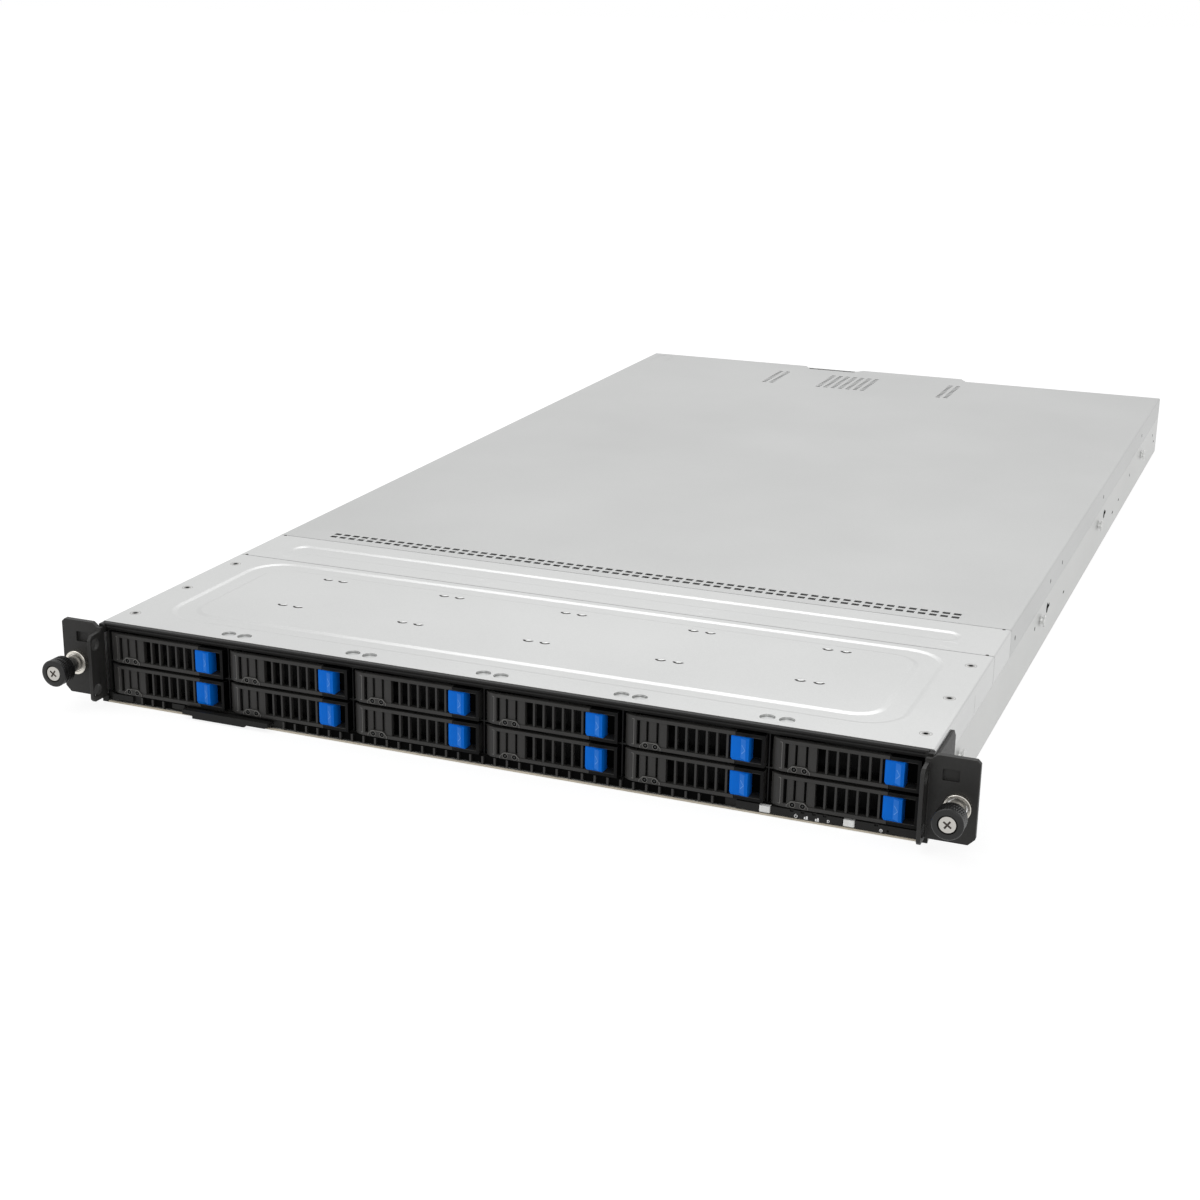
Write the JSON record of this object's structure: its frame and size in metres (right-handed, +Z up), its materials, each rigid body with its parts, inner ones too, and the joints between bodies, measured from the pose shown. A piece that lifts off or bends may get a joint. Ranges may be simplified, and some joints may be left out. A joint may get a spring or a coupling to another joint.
{
  "type": "rack server",
  "caption": "One-unit rack server with front drive carriers, blue release buttons, thumbscrew ears, lift-off rear cover and slide-out power supplies.",
  "frame": {"origin": "middle of the footprint, on the plane of the chassis floor", "axes": "+X to the right seen from the front, +Y from the drive bays to the power supplies, +Z up"},
  "size_m": [0.4826, 0.879, 0.0439],
  "materials": {
    "zinc_sheet": "fine matte zinc coat",
    "cage_steel": "matte",
    "ear_steel": "satin dark grey paint",
    "bezel_plastic": "fine matte",
    "carrier": "fine matte",
    "lever": "fine matte",
    "release_blue": "satin",
    "knob_black": "knurled",
    "nickel": "satin nickel",
    "key_white": "satin",
    "board_green": "satin lacquer",
    "heatsink": "raw",
    "fan_plastic": "matte",
    "supply_steel": "matte",
    "latch_plastic": "matte"
  },
  "bodies": {
    "chassis": {"base_chassis": "zinc_sheet", "front_top_cover": "zinc_sheet", "middle_top_cover": "zinc_sheet", "drive_cage": "cage_steel", "front_bezel": "bezel_plastic", "drive_backplane": "board_green", "rack_ear_left": "ear_steel", "rack_ear_right": "ear_steel", "thumbscrew_ferrules": "nickel", "control_panel": "bezel_plastic", "motherboard": "board_green", "cpu_heatsinks": "heatsink", "dimm_modules": "board_green", "fan_modules": "fan_plastic"},
    "rear_cover": {"rear_top_cover": "zinc_sheet"},
    "carrier_01": {"drive_carrier_01": "carrier"},
    "lever_01": {"carrier_lever_01": "lever"},
    "button_01": {"release_button_01": "release_blue"},
    "carrier_02": {"drive_carrier_02": "carrier"},
    "lever_02": {"carrier_lever_02": "lever"},
    "button_02": {"release_button_02": "release_blue"},
    "carrier_03": {"drive_carrier_03": "carrier"},
    "lever_03": {"carrier_lever_03": "lever"},
    "button_03": {"release_button_03": "release_blue"},
    "carrier_04": {"drive_carrier_04": "carrier"},
    "lever_04": {"carrier_lever_04": "lever"},
    "button_04": {"release_button_04": "release_blue"},
    "carrier_05": {"drive_carrier_05": "carrier"},
    "lever_05": {"carrier_lever_05": "lever"},
    "button_05": {"release_button_05": "release_blue"},
    "carrier_06": {"drive_carrier_06": "carrier"},
    "lever_06": {"carrier_lever_06": "lever"},
    "button_06": {"release_button_06": "release_blue"},
    "carrier_07": {"drive_carrier_07": "carrier"},
    "lever_07": {"carrier_lever_07": "lever"},
    "button_07": {"release_button_07": "release_blue"},
    "carrier_08": {"drive_carrier_08": "carrier"},
    "lever_08": {"carrier_lever_08": "lever"},
    "button_08": {"release_button_08": "release_blue"},
    "carrier_09": {"drive_carrier_09": "carrier"},
    "lever_09": {"carrier_lever_09": "lever"},
    "button_09": {"release_button_09": "release_blue"},
    "carrier_10": {"drive_carrier_10": "carrier"},
    "lever_10": {"carrier_lever_10": "lever"},
    "button_10": {"release_button_10": "release_blue"},
    "carrier_11": {"drive_carrier_11": "carrier"},
    "lever_11": {"carrier_lever_11": "lever"},
    "button_11": {"release_button_11": "release_blue"},
    "carrier_12": {"drive_carrier_12": "carrier"},
    "lever_12": {"carrier_lever_12": "lever"},
    "button_12": {"release_button_12": "release_blue"},
    "screw_left": {"thumbscrew_left": "knob_black"},
    "screw_right": {"thumbscrew_right": "knob_black"},
    "power_key": {"power_button": "key_white"},
    "id_key": {"id_button": "key_white"},
    "tag": {"pull_tag": "bezel_plastic"},
    "supply_1": {"power_supply_1": "supply_steel"},
    "supply_latch_1": {"psu_latch_1": "latch_plastic"},
    "supply_2": {"power_supply_2": "supply_steel"},
    "supply_latch_2": {"psu_latch_2": "latch_plastic"}
  },
  "joints": [
    {"name": "rear_cover_lift", "type": "slide", "parent": "chassis", "child": "rear_cover", "axis": [0, 0, 1], "range_m": [0, 0.09]},
    {"name": "carrier_01_slide", "type": "slide", "parent": "chassis", "child": "carrier_01", "axis": [0, -1, 0], "range_m": [0, 0.11]},
    {"name": "lever_01_hinge", "type": "hinge", "parent": "carrier_01", "child": "lever_01", "pos_m": [-0.2113, -0.4105, 0.0136], "axis": [0, 0, -1], "range_deg": [0, 50]},
    {"name": "button_01_press", "type": "slide", "parent": "carrier_01", "child": "button_01", "axis": [1, 0, 0], "range_m": [0, 0.004], "stiffness_N_per_m": 400},
    {"name": "carrier_02_slide", "type": "slide", "parent": "chassis", "child": "carrier_02", "axis": [0, -1, 0], "range_m": [0, 0.11]},
    {"name": "lever_02_hinge", "type": "hinge", "parent": "carrier_02", "child": "lever_02", "pos_m": [-0.2113, -0.4105, 0.0309], "axis": [0, 0, -1], "range_deg": [0, 50]},
    {"name": "button_02_press", "type": "slide", "parent": "carrier_02", "child": "button_02", "axis": [1, 0, 0], "range_m": [0, 0.004], "stiffness_N_per_m": 400},
    {"name": "carrier_03_slide", "type": "slide", "parent": "chassis", "child": "carrier_03", "axis": [0, -1, 0], "range_m": [0, 0.11]},
    {"name": "lever_03_hinge", "type": "hinge", "parent": "carrier_03", "child": "lever_03", "pos_m": [-0.1393, -0.4105, 0.0136], "axis": [0, 0, -1], "range_deg": [0, 50]},
    {"name": "button_03_press", "type": "slide", "parent": "carrier_03", "child": "button_03", "axis": [1, 0, 0], "range_m": [0, 0.004], "stiffness_N_per_m": 400},
    {"name": "carrier_04_slide", "type": "slide", "parent": "chassis", "child": "carrier_04", "axis": [0, -1, 0], "range_m": [0, 0.11]},
    {"name": "lever_04_hinge", "type": "hinge", "parent": "carrier_04", "child": "lever_04", "pos_m": [-0.1393, -0.4105, 0.0309], "axis": [0, 0, -1], "range_deg": [0, 50]},
    {"name": "button_04_press", "type": "slide", "parent": "carrier_04", "child": "button_04", "axis": [1, 0, 0], "range_m": [0, 0.004], "stiffness_N_per_m": 400},
    {"name": "carrier_05_slide", "type": "slide", "parent": "chassis", "child": "carrier_05", "axis": [0, -1, 0], "range_m": [0, 0.11]},
    {"name": "lever_05_hinge", "type": "hinge", "parent": "carrier_05", "child": "lever_05", "pos_m": [-0.0673, -0.4105, 0.0136], "axis": [0, 0, -1], "range_deg": [0, 50]},
    {"name": "button_05_press", "type": "slide", "parent": "carrier_05", "child": "button_05", "axis": [1, 0, 0], "range_m": [0, 0.004], "stiffness_N_per_m": 400},
    {"name": "carrier_06_slide", "type": "slide", "parent": "chassis", "child": "carrier_06", "axis": [0, -1, 0], "range_m": [0, 0.11]},
    {"name": "lever_06_hinge", "type": "hinge", "parent": "carrier_06", "child": "lever_06", "pos_m": [-0.0673, -0.4105, 0.0309], "axis": [0, 0, -1], "range_deg": [0, 50]},
    {"name": "button_06_press", "type": "slide", "parent": "carrier_06", "child": "button_06", "axis": [1, 0, 0], "range_m": [0, 0.004], "stiffness_N_per_m": 400},
    {"name": "carrier_07_slide", "type": "slide", "parent": "chassis", "child": "carrier_07", "axis": [0, -1, 0], "range_m": [0, 0.11]},
    {"name": "lever_07_hinge", "type": "hinge", "parent": "carrier_07", "child": "lever_07", "pos_m": [0.0047, -0.4105, 0.0136], "axis": [0, 0, -1], "range_deg": [0, 50]},
    {"name": "button_07_press", "type": "slide", "parent": "carrier_07", "child": "button_07", "axis": [1, 0, 0], "range_m": [0, 0.004], "stiffness_N_per_m": 400},
    {"name": "carrier_08_slide", "type": "slide", "parent": "chassis", "child": "carrier_08", "axis": [0, -1, 0], "range_m": [0, 0.11]},
    {"name": "lever_08_hinge", "type": "hinge", "parent": "carrier_08", "child": "lever_08", "pos_m": [0.0047, -0.4105, 0.0309], "axis": [0, 0, -1], "range_deg": [0, 50]},
    {"name": "button_08_press", "type": "slide", "parent": "carrier_08", "child": "button_08", "axis": [1, 0, 0], "range_m": [0, 0.004], "stiffness_N_per_m": 400},
    {"name": "carrier_09_slide", "type": "slide", "parent": "chassis", "child": "carrier_09", "axis": [0, -1, 0], "range_m": [0, 0.11]},
    {"name": "lever_09_hinge", "type": "hinge", "parent": "carrier_09", "child": "lever_09", "pos_m": [0.0767, -0.4105, 0.0136], "axis": [0, 0, -1], "range_deg": [0, 50]},
    {"name": "button_09_press", "type": "slide", "parent": "carrier_09", "child": "button_09", "axis": [1, 0, 0], "range_m": [0, 0.004], "stiffness_N_per_m": 400},
    {"name": "carrier_10_slide", "type": "slide", "parent": "chassis", "child": "carrier_10", "axis": [0, -1, 0], "range_m": [0, 0.11]},
    {"name": "lever_10_hinge", "type": "hinge", "parent": "carrier_10", "child": "lever_10", "pos_m": [0.0767, -0.4105, 0.0309], "axis": [0, 0, -1], "range_deg": [0, 50]},
    {"name": "button_10_press", "type": "slide", "parent": "carrier_10", "child": "button_10", "axis": [1, 0, 0], "range_m": [0, 0.004], "stiffness_N_per_m": 400},
    {"name": "carrier_11_slide", "type": "slide", "parent": "chassis", "child": "carrier_11", "axis": [0, -1, 0], "range_m": [0, 0.11]},
    {"name": "lever_11_hinge", "type": "hinge", "parent": "carrier_11", "child": "lever_11", "pos_m": [0.1487, -0.4105, 0.0136], "axis": [0, 0, -1], "range_deg": [0, 50]},
    {"name": "button_11_press", "type": "slide", "parent": "carrier_11", "child": "button_11", "axis": [1, 0, 0], "range_m": [0, 0.004], "stiffness_N_per_m": 400},
    {"name": "carrier_12_slide", "type": "slide", "parent": "chassis", "child": "carrier_12", "axis": [0, -1, 0], "range_m": [0, 0.11]},
    {"name": "lever_12_hinge", "type": "hinge", "parent": "carrier_12", "child": "lever_12", "pos_m": [0.1487, -0.4105, 0.0309], "axis": [0, 0, -1], "range_deg": [0, 50]},
    {"name": "button_12_press", "type": "slide", "parent": "carrier_12", "child": "button_12", "axis": [1, 0, 0], "range_m": [0, 0.004], "stiffness_N_per_m": 400},
    {"name": "thumbscrew_left_turn", "type": "hinge", "parent": "chassis", "child": "screw_left", "pos_m": [-0.23255, -0.4345, 0.021], "axis": [0, 1, 0], "continuous": true},
    {"name": "thumbscrew_right_turn", "type": "hinge", "parent": "chassis", "child": "screw_right", "pos_m": [0.23255, -0.4345, 0.021], "axis": [0, 1, 0], "continuous": true},
    {"name": "power_button_press", "type": "slide", "parent": "chassis", "child": "power_key", "axis": [0, 1, 0], "range_m": [0, 0.001], "stiffness_N_per_m": 800},
    {"name": "id_button_press", "type": "slide", "parent": "chassis", "child": "id_key", "axis": [0, 1, 0], "range_m": [0, 0.001], "stiffness_N_per_m": 800},
    {"name": "pull_tag_slide", "type": "slide", "parent": "chassis", "child": "tag", "axis": [0, -1, 0], "range_m": [0, 0.055]},
    {"name": "power_supply_1_slide", "type": "slide", "parent": "chassis", "child": "supply_1", "axis": [0, 1, 0], "range_m": [0, 0.18]},
    {"name": "psu_latch_1_press", "type": "slide", "parent": "supply_1", "child": "supply_latch_1", "axis": [-1, 0, 0], "range_m": [0, 0.0025], "stiffness_N_per_m": 2000},
    {"name": "power_supply_2_slide", "type": "slide", "parent": "chassis", "child": "supply_2", "axis": [0, 1, 0], "range_m": [0, 0.18]},
    {"name": "psu_latch_2_press", "type": "slide", "parent": "supply_2", "child": "supply_latch_2", "axis": [-1, 0, 0], "range_m": [0, 0.0025], "stiffness_N_per_m": 2000}
  ]
}
